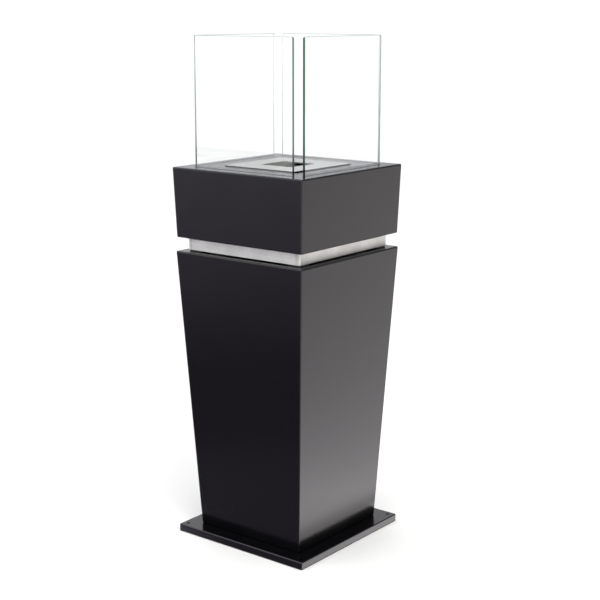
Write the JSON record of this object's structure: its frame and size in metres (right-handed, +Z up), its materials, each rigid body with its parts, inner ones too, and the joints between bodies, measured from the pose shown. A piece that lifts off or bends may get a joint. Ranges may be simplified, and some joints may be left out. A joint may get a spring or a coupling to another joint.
{
  "type": "outdoor heater",
  "caption": "Free-standing square patio heater: tapered black pedestal on a base plate, stainless neck band, drop-in fuel burner, and clear glass panels standing in slots round the flame.",
  "frame": {"origin": "middle of the base plate's underside, on the ground", "axes": "+Z up; the front face looks along -Y and the right face along +X"},
  "size_m": [0.32, 0.32, 1],
  "materials": {
    "black_paint": "satin",
    "frame_steel": "matt",
    "brushed_band": "brushed",
    "brushed_plate": "brushed",
    "well_steel": "mill",
    "screen_steel": "mill",
    "zinc_steel": "zinc plated",
    "black_rubber": "matt",
    "clear_glass": "clear, polished edges",
    "ceramic_wool": "fibrous"
  },
  "bodies": {
    "pedestal": {"base_plate": "black_paint", "base_screws": "zinc_steel", "foot_nuts": "zinc_steel", "column_shell": "black_paint", "neck_nuts": "zinc_steel", "neck_spacers": "frame_steel", "neck_band": "brushed_band", "upper_housing": "black_paint", "neck_bolts": "zinc_steel", "neck_washers": "zinc_steel", "burner_well": "well_steel", "glass_channel_front": "frame_steel", "glass_strip_front": "black_rubber", "glass_channel_right": "frame_steel", "glass_strip_right": "black_rubber", "glass_channel_back": "frame_steel", "glass_strip_back": "black_rubber", "glass_channel_left": "frame_steel", "glass_strip_left": "black_rubber"},
    "plate": {"burner_plate": "brushed_plate"},
    "burner": {"burner_cup": "brushed_plate", "burner_rim": "brushed_plate", "ceramic_wool": "ceramic_wool", "wool_screen": "screen_steel"},
    "glass_front": {"glass_panel_front": "clear_glass"},
    "glass_right": {"glass_panel_right": "clear_glass"},
    "glass_back": {"glass_panel_back": "clear_glass"},
    "glass_left": {"glass_panel_left": "clear_glass"}
  },
  "joints": [
    {"name": "plate_lift", "type": "slide", "parent": "pedestal", "child": "plate", "axis": [0, 0, 1], "range_m": [0, 0.27]},
    {"name": "burner_lift", "type": "slide", "parent": "pedestal", "child": "burner", "axis": [0, 0, 1], "range_m": [0, 0.33]},
    {"name": "glass_front_lift", "type": "slide", "parent": "pedestal", "child": "glass_front", "axis": [0, 0, 1], "range_m": [0, 0.06]},
    {"name": "glass_right_lift", "type": "slide", "parent": "pedestal", "child": "glass_right", "axis": [0, 0, 1], "range_m": [0, 0.06]},
    {"name": "glass_back_lift", "type": "slide", "parent": "pedestal", "child": "glass_back", "axis": [0, 0, 1], "range_m": [0, 0.06]},
    {"name": "glass_left_lift", "type": "slide", "parent": "pedestal", "child": "glass_left", "axis": [0, 0, 1], "range_m": [0, 0.06]}
  ]
}
